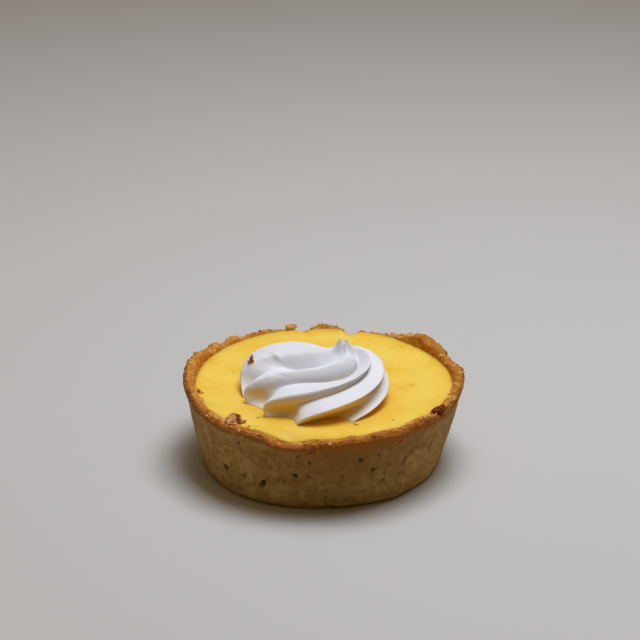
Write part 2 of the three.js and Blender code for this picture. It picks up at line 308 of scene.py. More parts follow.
@dataclass(frozen=True)
class BakedShortcrust:
    """Shortcrust pastry, pressed into a tin by hand and baked.

    Butter and flour bake to a sandy, matt tan that is mottled a few millimetres across. The thin
    rim toasts to gold, then brown, and pale grains are scattered over it. The crests of its broken
    grains are painted pale as painted highlight, in pale specks, and brown is painted into the clefts
    between them as painted shade. The front of the wall is painted darker as painted shade, with a
    dark olive and with brown further down, and its holes are painted dark as painted shade. Flour is
    too fine to show, so the grain is drawn coarser, as wide as its clumps.
    """

    name: str = "baked_shortcrust"
    pale: str = "c09a58"
    tan: str = "ab833e"
    olive: str = "956e30"
    # A dark olive painted over the front of the wall as painted shade.
    painted_front_shade: str = "6b5010"
    gold: str = "e0aa52"
    orange: str = "c57c22"
    # The toasted brown; it is also painted further down the front of the wall, and into the rim's clefts, as
    # painted shade.
    brown: str = "a25c0c"
    # Pale grains on the rim, and painted highlight on the crests of its broken grains.
    pale_grain_and_painted_highlight: str = "dba961"
    # Dark specks, and the painted shade in the wall's holes.
    hollow: str = "3a220c"
    blotch: float = 9.0
    mottle: float = 2.6
    grain: float = 0.55
    roughness: float = 0.82
    grain_depth: float = 0.07
    mottle_depth: float = 0.05

    def build(self) -> bpy.types.Material:
        """Makes the material.

        Returns:
            The material, which reads from the mesh its browning, with painted shade on the front; the painted
            shade over the front of the wall; and its lip, crag and pit values.
        """
        material, tree, place = new_material(self.name)
        blotches, mottles, grains = (
            add_node(
                tree, "TexNoise", {"Scale": pattern_scale(size), "Detail": detail, "Roughness": rough},
                {"Vector": place},
            ).outputs["Fac"]
            for size, detail, rough in (
                (self.blotch, 3.0, 0.55), (self.mottle, 5.0, 0.6), (self.grain, 3.0, 0.6),
            )
        )
        toast_and_painted_shade, front_shade_share, lip, crag, pit = (
            add_node(tree, "Attribute", {"attribute_name": name}).outputs["Fac"]
            for name in ("toast_and_painted_shade", "front_shade_share", "lip", "crag", "pit")
        )
        ramp = {"interpolation_type": "SMOOTHSTEP"}
        blotched, mottled, browned, cleft, crest, speck = (
            add_node(
                tree, "MapRange", ramp | {"From Min": start, "From Max": end, "To Max": most},
                {"Value": value},
            ).outputs["Result"]
            for value, start, end, most in (
                (blotches, 0.35, 0.65, 1.0), (mottles, 0.42, 0.68, 1.0), (mottles, 0.32, 0.58, 1.0),
                (crag, 0.4, 0.0, 0.6), (crag, 0.45, 0.85, 0.5), (grains, 0.4, 0.27, 0.3),
            )
        )
        fleck_share = add_node(tree, "MapRange", {"To Min": 0.15, "To Max": 0.55}, {"Value": lip})
        fleck = add_node(
            tree, "MapRange", ramp | {"From Min": 0.58, "From Max": 0.72},
            {"Value": grains, "To Max": fleck_share.outputs["Result"]},
        ).outputs["Result"]
        wall = add_node(
            tree, "MixRGB", {"Color1": linear(self.pale), "Color2": linear(self.tan)}, {"Fac": blotched},
        ).outputs["Color"]
        # Painted shade: a dark olive and the brown darken the front of the wall, and the brown is also the
        # toasted band under the rim.
        for colour, share in ((self.olive, mottled), (self.painted_front_shade, front_shade_share), (self.brown, toast_and_painted_shade)):
            wall = add_node(
                tree, "MixRGB", {"Color2": linear(colour)}, {"Fac": share, "Color1": wall},
            ).outputs["Color"]
        crisp = add_node(
            tree, "MixRGB", {"Color1": linear(self.gold), "Color2": linear(self.orange)}, {"Fac": browned},
        ).outputs["Color"]
        # Painted shade in the rim's clefts and painted highlight on the crests of its grains.
        for colour, share in ((self.brown, cleft), (self.pale_grain_and_painted_highlight, crest)):
            crisp = add_node(
                tree, "MixRGB", {"Color2": linear(colour)}, {"Fac": share, "Color1": crisp},
            ).outputs["Color"]
        crust = add_node(
            tree, "MixRGB", links={"Fac": lip, "Color1": wall, "Color2": crisp},
        ).outputs["Color"]
        # The dark in the wall's holes is painted shade.
        for colour, share in ((self.pale_grain_and_painted_highlight, fleck), (self.hollow, speck), (self.hollow, pit)):
            crust = add_node(
                tree, "MixRGB", {"Color2": linear(colour)}, {"Fac": share, "Color1": crust},
            ).outputs["Color"]
        coarse = add_node(tree, "Bump", {"Distance": self.mottle_depth * MM}, {"Height": mottles})
        fine = add_node(
            tree, "Bump", {"Distance": self.grain_depth * MM},
            {"Height": grains, "Normal": coarse.outputs["Normal"]},
        )
        surface = add_node(
            tree, "BsdfPrincipled", {"Roughness": self.roughness, "IOR": 1.45, "Specular IOR Level": 0.35},
            {"Base Color": crust, "Normal": fine.outputs["Normal"]},
        )
        close_material(tree, surface)
        return material


@dataclass(frozen=True)
class SetCustard:
    """Lime custard, poured into the shell and baked until just set.

    Egg yolk and condensed milk give a dense, clean yellow that light sinks into for a millimetre
    or two, under a smooth skin with a soft, broad gloss.
    """

    name: str = "set_lime_custard"
    light: str = "fad65e"
    deep: str = "f5ca48"
    # The custard's edge by the rim, and painted shade round the meringue's foot.
    amber: str = "e3a62c"
    cloud: float = 14.0
    pore: float = 1.4
    roughness: float = 0.5
    pore_depth: float = 0.02
    scatter_depth: float = 3.0

    def build(self) -> bpy.types.Material:
        """Makes the material.

        Returns:
            The material, which reads from the mesh, as edge, how amber each point is; round the meringue's
            foot that amber is painted shade.
        """
        material, tree, place = new_material(self.name)
        clouds = add_node(
            tree, "TexNoise", {"Scale": pattern_scale(self.cloud), "Detail": 4.0}, {"Vector": place},
        )
        pores = add_node(
            tree, "TexNoise", {"Scale": pattern_scale(self.pore), "Detail": 2.0}, {"Vector": place},
        )
        edge = add_node(tree, "Attribute", {"attribute_name": "edge"})
        clouded = add_node(
            tree, "MapRange", {"interpolation_type": "SMOOTHSTEP", "From Min": 0.35, "From Max": 0.65},
            {"Value": clouds.outputs["Fac"]},
        )
        yellow = add_node(
            tree, "MixRGB", {"Color1": linear(self.light), "Color2": linear(self.deep)},
            {"Fac": clouded.outputs["Result"]},
        )
        edged = add_node(
            tree, "MixRGB", {"Color2": linear(self.amber)},
            {"Fac": edge.outputs["Fac"], "Color1": yellow.outputs["Color"]},
        )
        skin = add_node(
            tree, "Bump", {"Distance": self.pore_depth * MM}, {"Height": pores.outputs["Fac"]},
        )
        surface = add_node(
            tree, "BsdfPrincipled",
            {
                "Roughness": self.roughness, "IOR": 1.45, "Specular IOR Level": 0.3,
                "Subsurface Weight": 0.6, "Subsurface Radius": (1.0, 0.6, 0.15),
                "Subsurface Scale": self.scatter_depth * MM,
            },
            {"Base Color": edged.outputs["Color"], "Normal": skin.outputs["Normal"]},
        )
        close_material(tree, surface)
        return material


@dataclass(frozen=True)
class WhippedMeringue:
    """Egg white and sugar syrup, whipped stiff and piped through a star nozzle.

    Its bubbles are too fine to see and scatter light at once, so that it is a bright, faintly
    cool white with a satin skin. Yellow is painted on its lower faces near the custard below, as
    painted bounce light, and grey is painted into its deep grooves as painted shade. The bubbles are
    drawn coarser than real ones, so that they show.
    """

    name: str = "whipped_meringue"
    white: str = "f0f1f6"
    shade: str = "e9ebf1"
    # Grey of the painted shade in the deep grooves.
    hollow: str = "6c6662"
    # Yellow of the painted bounce light from the custard.
    painted_bounce: str = "fad060"
    drift: float = 8.0
    bubble: float = 0.5
    roughness: float = 0.5
    bubble_depth: float = 0.012
    scatter_depth: float = 1.6

    def build(self) -> bpy.types.Material:
        """Makes the material.

        Returns:
            The material, which reads from the mesh how much painted shade greys it and how much painted
            bounce light from the custard turns it yellow.
        """
        material, tree, place = new_material(self.name)
        drifts = add_node(
            tree, "TexNoise", {"Scale": pattern_scale(self.drift), "Detail": 2.0}, {"Vector": place},
        )
        bubbles = add_node(
            tree, "TexNoise", {"Scale": pattern_scale(self.bubble), "Detail": 3.0}, {"Vector": place},
        )
        whites = add_node(
            tree, "MixRGB", {"Color1": linear(self.white), "Color2": linear(self.shade)},
            {"Fac": drifts.outputs["Fac"]},
        )
        # Painted shade: the deep grooves are greyed.
        hollow = add_node(tree, "Attribute", {"attribute_name": "hollow"})
        with_painted_shade = add_node(
            tree, "MixRGB", {"Color2": linear(self.hollow)},
            {"Fac": hollow.outputs["Fac"], "Color1": whites.outputs["Color"]},
        )
        # Painted bounce light: the lower faces near the custard turn yellow.
        painted_bounce = add_node(tree, "Attribute", {"attribute_name": "painted_bounce"})
        with_painted_bounce = add_node(
            tree, "MixRGB", {"Color2": linear(self.painted_bounce)},
            {"Fac": painted_bounce.outputs["Fac"], "Color1": with_painted_shade.outputs["Color"]},
        )
        skin = add_node(
            tree, "Bump", {"Distance": self.bubble_depth * MM}, {"Height": bubbles.outputs["Fac"]},
        )
        surface = add_node(
            tree, "BsdfPrincipled",
            {
                "Roughness": self.roughness, "IOR": 1.45, "Specular IOR Level": 0.35,
                "Subsurface Weight": 0.35, "Subsurface Radius": (1.0, 0.95, 0.85),
                "Subsurface Scale": self.scatter_depth * MM,
            },
            {"Base Color": with_painted_bounce.outputs["Color"], "Normal": skin.outputs["Normal"]},
        )
        close_material(tree, surface)
        return material


@dataclass(frozen=True)
class BakedCrumb:
    """A loose bit of baked dough or peel: one colour on its faces and another in its cracks."""

    name: str
    face: str
    crack: str
    grain: float
    cracked: tuple[float, float] = (0.34, 0.54)
    roughness: float = 0.8
    depth: float = 0.12

    def build(self) -> bpy.types.Material:
        """Makes the material.

        Returns:
            The material.
        """
        material, tree, place = new_material(self.name)
        grains = add_node(
            tree, "TexNoise", {"Scale": pattern_scale(self.grain), "Detail": 4.0, "Roughness": 0.6},
            {"Vector": place},
        )
        cracked = add_node(
            tree, "MapRange",
            {"interpolation_type": "SMOOTHSTEP", "From Min": self.cracked[0], "From Max": self.cracked[1]},
            {"Value": grains.outputs["Fac"]},
        )
        colour = add_node(
            tree, "MixRGB", {"Color1": linear(self.crack), "Color2": linear(self.face)},
            {"Fac": cracked.outputs["Result"]},
        )
        rough = add_node(tree, "Bump", {"Distance": self.depth * MM}, {"Height": grains.outputs["Fac"]})
        surface = add_node(
            tree, "BsdfPrincipled", {"Roughness": self.roughness, "IOR": 1.45, "Specular IOR Level": 0.3},
            {"Base Color": colour.outputs["Color"], "Normal": rough.outputs["Normal"]},
        )
        close_material(tree, surface)
        return material


@dataclass(frozen=True)
class PaintedBoard:
    """A board painted a flat, pale grey: the plain floor of the studio."""

    name: str = "painted_board"
    paint: str = "c9c8c5"
    mottle: float = 60.0
    roughness: float = 0.75

    def build(self) -> bpy.types.Material:
        """Makes the material.

        Returns:
            The material.
        """
        material, tree, place = new_material(self.name)
        patches = add_node(
            tree, "TexNoise", {"Scale": pattern_scale(self.mottle), "Detail": 2.0}, {"Vector": place},
        )
        rough = add_node(
            tree, "MapRange", {"To Min": self.roughness - 0.05, "To Max": self.roughness + 0.05},
            {"Value": patches.outputs["Fac"]},
        )
        surface = add_node(
            tree, "BsdfPrincipled", {"Base Color": linear(self.paint), "IOR": 1.5},
            {"Roughness": rough.outputs["Result"]},
        )
        close_material(tree, surface)
        return material


@dataclass(frozen=True)
class Swell:
    """Something strongest at one bearing that fades to either side; a negative rise sinks."""

    at: float
    spread: float
    rise: float


def swollen(bearing: np.ndarray, swells: Sequence[Swell]) -> np.ndarray:
    """How much several swells add up to at each bearing."""
    return sum(swell.rise * bell(bearing, swell.at, swell.spread) for swell in swells)


@dataclass(frozen=True)
class ThumbWave:
    """One set of the wall's even lobes: how many, how deep, where, and how they lean round."""

    lobes: int
    depth: float
    phase: float
    twist: float


@dataclass(frozen=True)
class Pit:
    """A hole that steam left in the wall; wide and tall stretch it."""

    bearing: float
    height: float
    radius: float
    wide: float = 1.0
    tall: float = 1.0
    lean: float = 0.0


@dataclass(frozen=True)
class Flake:
    """A thin ledge of pastry that stands proud of the wall."""

    bearing: float
    height: float
    length: float
    thickness: float
    stand: float


@dataclass
class PastryShell:
    """The hand-pressed shell: a tapered cup with an uneven, crumbling, toasted rim.

    Some fields are pairs of limits between which something fades. Those of the lip are shares of
    the way round it, from 0 on the outer wall over 0.5 on top of the rim to 1 inside.
    """

    base_radius: float = 43.4
    top_radius: float = 50.0
    wall: float = 3.7
    floor: float = 4.0
    corner: float = 2.4
    bulge: float = 0.85
    lip_flare: float = 0.35
    lip_depth: float = 5.0
    outer_drop: float = 1.8
    inner_drop: tuple[float, float, float] = (0.4, 3.4, 0.75)
    lip_roundness: float = 0.8
    columns: int = 960
    corner_rows: int = 5
    wall_rows: int = 54
    rim_rows: int = 32
    inner_rows: int = 5
    underside_rings: tuple[float, ...] = (0.45, 0.8)
    hidden_depth: float = 3.0
    back_lift: Swell = Swell(92, 50, 1.2)
    foot_shift: float = -1.0
    seat: float = 1.5
    seed: int = 5
    thumbs: tuple[ThumbWave, ...] = (ThumbWave(3, 0.35, 1.1, 0), ThumbWave(5, 0.25, -0.4, 0.1))
    ragged_top: tuple[Waves, ...] = (Waves(0.6, 5.0, 31), Waves(0.5, 2.1, 32))
    wall_waves: tuple[Waves, ...] = (Waves(0.25, 8.0, 1), Waves(0.07, 3.0, 2), Waves(0.04, 1.2, 3))
    rim_waves: tuple[Waves, ...] = (Waves(0.3, 2.6, 6),)
    grains: tuple[Waves, ...] = (Waves(0.55, 3.0, 4), Waves(0.45, 1.5, 5))
    grain_height: float = 1.1
    grain_share: float = 0.15
    least_crumbling: float = 0.65
    wall_end: tuple[float, float] = (0.05, 0.4)
    lip_start: tuple[float, float] = (0.0, 0.2)
    inner_face: tuple[float, float] = (0.5, 0.75)
    inner_smoothness: float = 0.65
    broken_depth: tuple[float, float] = (2.6, 0.4)
    fine_pits: int = 220
    pit_edge: tuple[float, float] = (0.35, 1.25)
    pit_depth: float = 1.25
    # How dark the holes are painted, as painted shade, by their size.
    dark_pit: float = 0.8
    dark_bend: float = 1.5
    browned_depth: float = 2.2
    browned_bands: tuple[Swell, ...] = (Swell(-68, 36, 4.6), Swell(150, 60, 1.5))
    browned_edge: tuple[float, float] = (0.45, 1.25)
    most_browned: float = 0.9
    uneven_browning: tuple[Waves, ...] = (Waves(1.2, 4.0, 11), Waves(0.7, 1.6, 12))
    # These seven settings paint shade over the front of the wall: brown reaching further down than the
    # toasted band, and a dark olive that grows a little lighter lower down.
    painted_low_front_shade_raggedness: float = 2.0
    front_shade_raggedness: float = 3.0
    painted_low_front_shade: Swell = Swell(-86, 26, 0.3)
    painted_low_front_shade_edge: tuple[float, float] = (8.0, 24.0)
    front_shade_swell: Swell = Swell(-82, 32, 0.68)
    front_shade_edge: tuple[float, float] = (8.0, 22.0)
    front_shade_falloff: float = 0.35
    golden_start: float = 0.2
    golden_lags: tuple[Swell, ...] = (Swell(-60, 24, 0.2), Swell(-150, 30, 0.12))
    uneven_gold: tuple[Waves, ...] = (Waves(0.1, 1.8, 13),)
    features: tuple[Swell, ...] = (
        Swell(180, 27, 4.5), Swell(160, 11, 1.8), Swell(145, 4, 1.6), Swell(135, 5, 1.8),
        Swell(119, 10, 1.5), Swell(98, 3.5, -1.7), Swell(89, 6, 1.9), Swell(77, 4, -1.9),
        Swell(64, 9, -0.5), Swell(36, 17, 5.2), Swell(2, 13, 4.0), Swell(-16, 14, 2.4),
        Swell(-46, 8, 1.3), Swell(-65, 8, 1.2), Swell(-79, 5, 0.6), Swell(-104, 8, -2.2),
        Swell(-122, 7, 0.6),
    )
    crumbly: tuple[Swell, ...] = (
        Swell(-135, 5, 0.4), Swell(-112, 2.6, 0.5), Swell(-101, 2.4, 0.5), Swell(-86, 2.2, 0.22),
        Swell(-80, 2.2, 0.22), Swell(-51, 3.2, 0.4), Swell(-41, 2.6, 0.4), Swell(-22, 4, 0.2),
        Swell(50, 6, 0.35), Swell(62, 5, 0.3), Swell(132, 6, 0.35), Swell(146, 5, 0.35),
        Swell(172, 12, 0.25), Swell(-160, 10, 0.3),
    )
    pits: tuple[Pit, ...] = (
        Pit(-116, 9, 1.2, 1.0, 1.3, 0.35), Pit(-136, 11, 1.05, 1.5, 1.1),
        Pit(-36, 17.5, 0.8, 0.7, 2.2, 0.5), Pit(-52, 16, 0.75, 0.7, 2.0, 0.5),
        Pit(-101, 14.5, 0.9), Pit(-95, 14.2, 0.6), Pit(-68, 15.5, 0.75, 1.0, 1.2),
        Pit(-126, 24, 0.7, 0.9, 1.4), Pit(-74, 20.5, 0.8, 1.2, 0.9), Pit(-95, 20.5, 0.6),
        Pit(-62, 10.5, 0.6, 1.5, 0.8), Pit(-106, 11.6, 0.55), Pit(-125, 10.4, 0.65, 1.3, 0.8),
        Pit(-100, 22.8, 0.5), Pit(-61, 16.8, 0.45), Pit(-88, 8.4, 0.6, 1.5, 0.8),
        Pit(-34, 21, 0.5, 0.8, 1.6), Pit(-85.5, 0.8, 1.4, 1.6, 0.8), Pit(-130, 3.5, 0.5, 1.6, 0.8),
        Pit(172, 14, 0.9), Pit(118, 11, 1.0), Pit(71, 19, 0.8), Pit(24, 12, 0.9, 0.8, 1.5),
        Pit(150, 18, 0.7), Pit(95, 8, 0.8, 1.4, 0.8), Pit(45, 9, 0.7), Pit(3, 16, 0.8),
    )
    flakes: tuple[Flake, ...] = (
        Flake(-56, 2.1, 6.5, 0.7, 1.1), Flake(-79, 2.2, 6.0, 0.7, 1.1), Flake(-108, 26.2, 5.5, 1.0, 0.8),
        Flake(-131, 26.5, 6.0, 0.8, 0.35), Flake(60, 2.0, 6.0, 0.5, 0.3), Flake(150, 1.6, 7.0, 0.5, 0.3),
    )

    def rim_rise(self, bearing: np.ndarray) -> np.ndarray:
        """How far the rim stands above the custard."""
        return swollen(bearing, self.features)

    def lift(self, bearing: np.ndarray) -> np.ndarray:
        """How far the back of the rim and of the custard is drawn up above the rest."""
        return swollen(bearing, [self.back_lift])

    def outer_radius(self, bearing: np.ndarray, height: np.ndarray) -> np.ndarray:
        """Works out the wall's outer radius, with the smooth unevenness that thumbs leave.

        Args:
            bearing: Each point's bearing.
            height: Each point's height.

        Returns:
            Each point's distance from the axis.
        """
        angle = np.radians(bearing)
        taper = (np.maximum(height, 0) / CUSTARD_LEVEL) ** self.bulge
        pressed = sum(
            wave.depth * np.sin(wave.lobes * angle + wave.phase + height * wave.twist) for wave in self.thumbs
        )
        return self.base_radius + (self.top_radius - self.base_radius) * taper + pressed

    def inner_radius(self, bearing: np.ndarray, height: np.ndarray) -> np.ndarray:
        """The wall's inner radius, which the custard follows."""
        return self.outer_radius(bearing, height) - self.wall

    def rows(self, bearing: np.ndarray) -> tuple[np.ndarray, np.ndarray]:
        """Works out the plain wall, from the underside over the rim to the floor.

        Args:
            bearing: The columns' bearings.

        Returns:
            The grid of points, and how far each lies round the lip: 0 on the outer wall, 0.5 on top
            of the rim and 1 inside.
        """
        around = polar(bearing, np.full_like(bearing, self.top_radius), np.zeros_like(bearing))
        top = CUSTARD_LEVEL + self.lift(bearing) + self.rim_rise(bearing) + relief(around, self.ragged_top)
        least, most, part = self.inner_drop
        inner_drop = np.clip((top - CUSTARD_LEVEL) * part, least, most)
        shoulder = top - self.outer_drop
        foot = self.outer_radius(bearing, np.full_like(bearing, self.corner))
        grid, lip = [], []
        for share in self.underside_rings:
            grid.append(polar(bearing, (foot - self.corner) * share, np.zeros_like(bearing)))
            lip.append(0.0)
        for step in range(self.corner_rows):
            angle = step / self.corner_rows * math.pi / 2
            rise = self.corner * (1 - math.cos(angle))
            grid.append(polar(bearing, foot - self.corner * (1 - math.sin(angle)), rise))
            lip.append(0.0)
        for step in range(self.wall_rows):
            height = self.corner + (shoulder - self.corner) * step / self.wall_rows
            flare = self.lip_flare * np.clip(1 - (shoulder - height) / self.lip_depth, 0, 1)
            grid.append(polar(bearing, self.outer_radius(bearing, height) + flare, height))
            lip.append(0.0)
        outside = self.outer_radius(bearing, shoulder) + self.lip_flare
        inside = self.inner_radius(bearing, top - inner_drop)
        for step in range(self.rim_rows + 1):
            angle = step / self.rim_rows * math.pi
            drop = self.outer_drop if angle < math.pi / 2 else inner_drop
            radius = (outside + inside) / 2 + (outside - inside) / 2 * math.cos(angle)
            grid.append(polar(bearing, radius, top - drop * (1 - math.sin(angle) ** self.lip_roundness)))
            lip.append(step / self.rim_rows)
        below = np.minimum(top - inner_drop, CUSTARD_LEVEL) - self.hidden_depth
        for step in range(1, self.inner_rows + 1):
            height = (top - inner_drop) + (below - top + inner_drop) * step / self.inner_rows
            grid.append(polar(bearing, self.inner_radius(bearing, height), height))
            lip.append(1.0)
        for height in (CUSTARD_LEVEL / 2, self.floor):
            level = np.full_like(bearing, height)
            grid.append(polar(bearing, self.inner_radius(bearing, level), level))
            lip.append(1.0)
        points = np.array(grid)
        points[..., 0] += self.foot_shift * (1 - np.clip(points[..., 2] / CUSTARD_LEVEL, 0, 1))
        return points, np.repeat(np.array(lip)[:, None], len(bearing), axis=1)

    def rim_point(self, bearing: float, across: float) -> np.ndarray:
        """The plain rim's point at a bearing, across the lip from 0 outside to 1 inside."""
        grid, lip = self.rows(np.array([bearing]))
        return grid[int(np.argmin(np.abs(lip[:, 0] - across))), 0]

    def crumbliness(self, bearing: np.ndarray) -> np.ndarray:
        """How much more than elsewhere the rim has crumbled to pale, dry grains."""
        return swollen(bearing, self.crumbly)

    def dents(self, bearing: np.ndarray, height: np.ndarray) -> tuple[np.ndarray, np.ndarray]:
        """Works out the steam holes and flakes of the outer wall.

        Args:
            bearing: Each point's bearing.
            height: Each point's height.

        Returns:
            How far each point moves outward, and how deep in a hole it lies, from 0 to 1, which sets how dark
            it is painted as painted shade.
        """
        draw = np.random.default_rng(self.seed)
        fine = [
            Pit(
                bearing=draw.uniform(-180, 180), height=draw.uniform(1.5, 27),
                radius=draw.uniform(0.28, 0.55),
                wide=draw.uniform(0.8, 1.4), tall=draw.uniform(0.7, 1.2), lean=draw.uniform(-0.6, 0.6),
            )
            for _ in range(self.fine_pits)
        ]
        moved = np.zeros_like(bearing)
        depth = np.zeros_like(bearing)
        arc = math.radians(self.top_radius + self.base_radius) / 2
        for pit in (*self.pits, *fine):
            across = ((bearing - pit.bearing + 900) % 360 - 180) * arc
            along = height - pit.height
            leaned = across - pit.lean * along
            apart = np.hypot(leaned / (pit.radius * pit.wide), along / (pit.radius * pit.tall))
            hole = 1 - ease(*self.pit_edge, apart)
            moved -= hole * pit.radius * self.pit_depth
            # How dark the hole is painted, as painted shade; small holes less.
            depth = np.maximum(depth, hole * min(1.0, pit.radius / self.dark_pit) ** self.dark_bend)
        for flake in self.flakes:
            across = ((bearing - flake.bearing + 900) % 360 - 180) * arc / flake.length
            along = (height - flake.height) / flake.thickness
            moved += flake.stand * np.exp(-(across ** 2) - along ** 2)
        return moved, depth

    def crags(self, grid: np.ndarray, bearing: np.ndarray, rim: np.ndarray) -> np.ndarray:
        """Works out the broken grains of the rim.

        Args:
            grid: The points of the plain shell.
            bearing: Each point's bearing.
            rim: How far each point belongs to the rim.

        Returns:
            How far each point stands up on a grain, from 0 in a cleft to 1, and 0 off the rim.
        """
        crag = np.zeros_like(rim)
        broken = rim.max(axis=1) > 0
        crag[broken] = sum(
            grain.height * clefts(grid[broken], grain.size, grain.seed) for grain in self.grains
        )
        return np.clip(crag - self.grain_share + self.crumbliness(bearing), 0, 1) * (rim > 0)

    def build(self) -> bpy.types.Object:
        """Makes the shell.

        Returns:
            Its mesh, with the values that its material takes from it: browning, with painted shade on the
            front; painted shade over the front of the wall; lip; pit; and crag.
        """
        columns = np.linspace(-180, 180, self.columns, endpoint=False)
        grid, lip = self.rows(columns)
        bearing = np.broadcast_to(columns, lip.shape)
        height = grid[..., 2]
        top = height.max(axis=0)
        outer = 1 - ease(*self.wall_end, lip)
        rim = np.maximum(ease(*self.broken_depth, top - height), ease(*self.lip_start, lip))
        rim = rim * (1 - self.inner_smoothness * ease(*self.inner_face, lip))
        moved, pit = self.dents(bearing, height)
        crag = self.crags(grid, bearing, rim)
        facing_back = np.abs(np.sin(np.radians(bearing) / 2 - math.pi / 4))
        crumbling = self.least_crumbling + (1 - self.least_crumbling) * facing_back
        broken = relief(grid, self.rim_waves) + self.grain_height * crumbling * (crag - 0.5)
        seated = ease(0.0, self.seat, height)
        moved = outer * (moved + relief(grid, self.wall_waves)) * seated + rim * broken
        shaped = grid + grid_normals(grid) * moved[..., None]
        shaped[..., 2] = np.maximum(shaped[..., 2], 0)
        shaped[:len(self.underside_rings) + 1, :, 2] = 0
        piece = closed_grid("crust_shell", shaped, (0, 0, 0), (0, 0, self.floor))
        toast_and_painted_shade, front_shade_share, gilt = self.toasting_and_painted_shade(bearing, grid, lip, top)
        # Two of these values carry the painted shade on the front of the wall.
        for name, values in (
            ("toast_and_painted_shade", toast_and_painted_shade), ("front_shade_share", front_shade_share), ("lip", gilt), ("pit", pit * outer * seated), ("crag", crag),
        ):
            store(piece, name, values)
        return piece

    def toasting_and_painted_shade(
        self, bearing: np.ndarray, grid: np.ndarray, lip: np.ndarray, top: np.ndarray,
    ) -> tuple[np.ndarray, np.ndarray, np.ndarray]:
        """Works out how the oven coloured the shell, and the shade painted on the front of its wall.

        Args:
            bearing: Each point's bearing.
            grid: The points of the plain shell.
            lip: How far each point lies round the lip.
            top: The height of each column's rim.

        Returns:
            How browned each point is, with painted shade further down the front; how much painted shade
            darkens the front of the wall; and how golden it is, all from 0 to 1.
        """
        below = top - grid[..., 2]
        uneven = relief(grid, self.uneven_browning)
        band = self.browned_depth + swollen(bearing, self.browned_bands)
        browned = self.most_browned * (1 - ease(*self.browned_edge, (below + uneven) / band))
        # Painted shade: on the front the brown reaches further down than the toasted band.
        reached = 1 - ease(*self.painted_low_front_shade_edge, below + self.painted_low_front_shade_raggedness * uneven)
        lower = swollen(bearing, [self.painted_low_front_shade]) * reached
        # Painted shade: a dark olive over the front of the wall, a little lighter lower down.
        dry = self.front_shade_falloff * ease(*self.front_shade_edge, below + self.front_shade_raggedness * uneven)
        painted_front_shade = swollen(bearing, [self.front_shade_swell]) * (1 - dry)
        start = self.golden_start + swollen(bearing, self.golden_lags)
        golden = ease(*self.lip_start, lip - start + relief(grid, self.uneven_gold))
        return np.maximum(browned, lower), painted_front_shade, golden


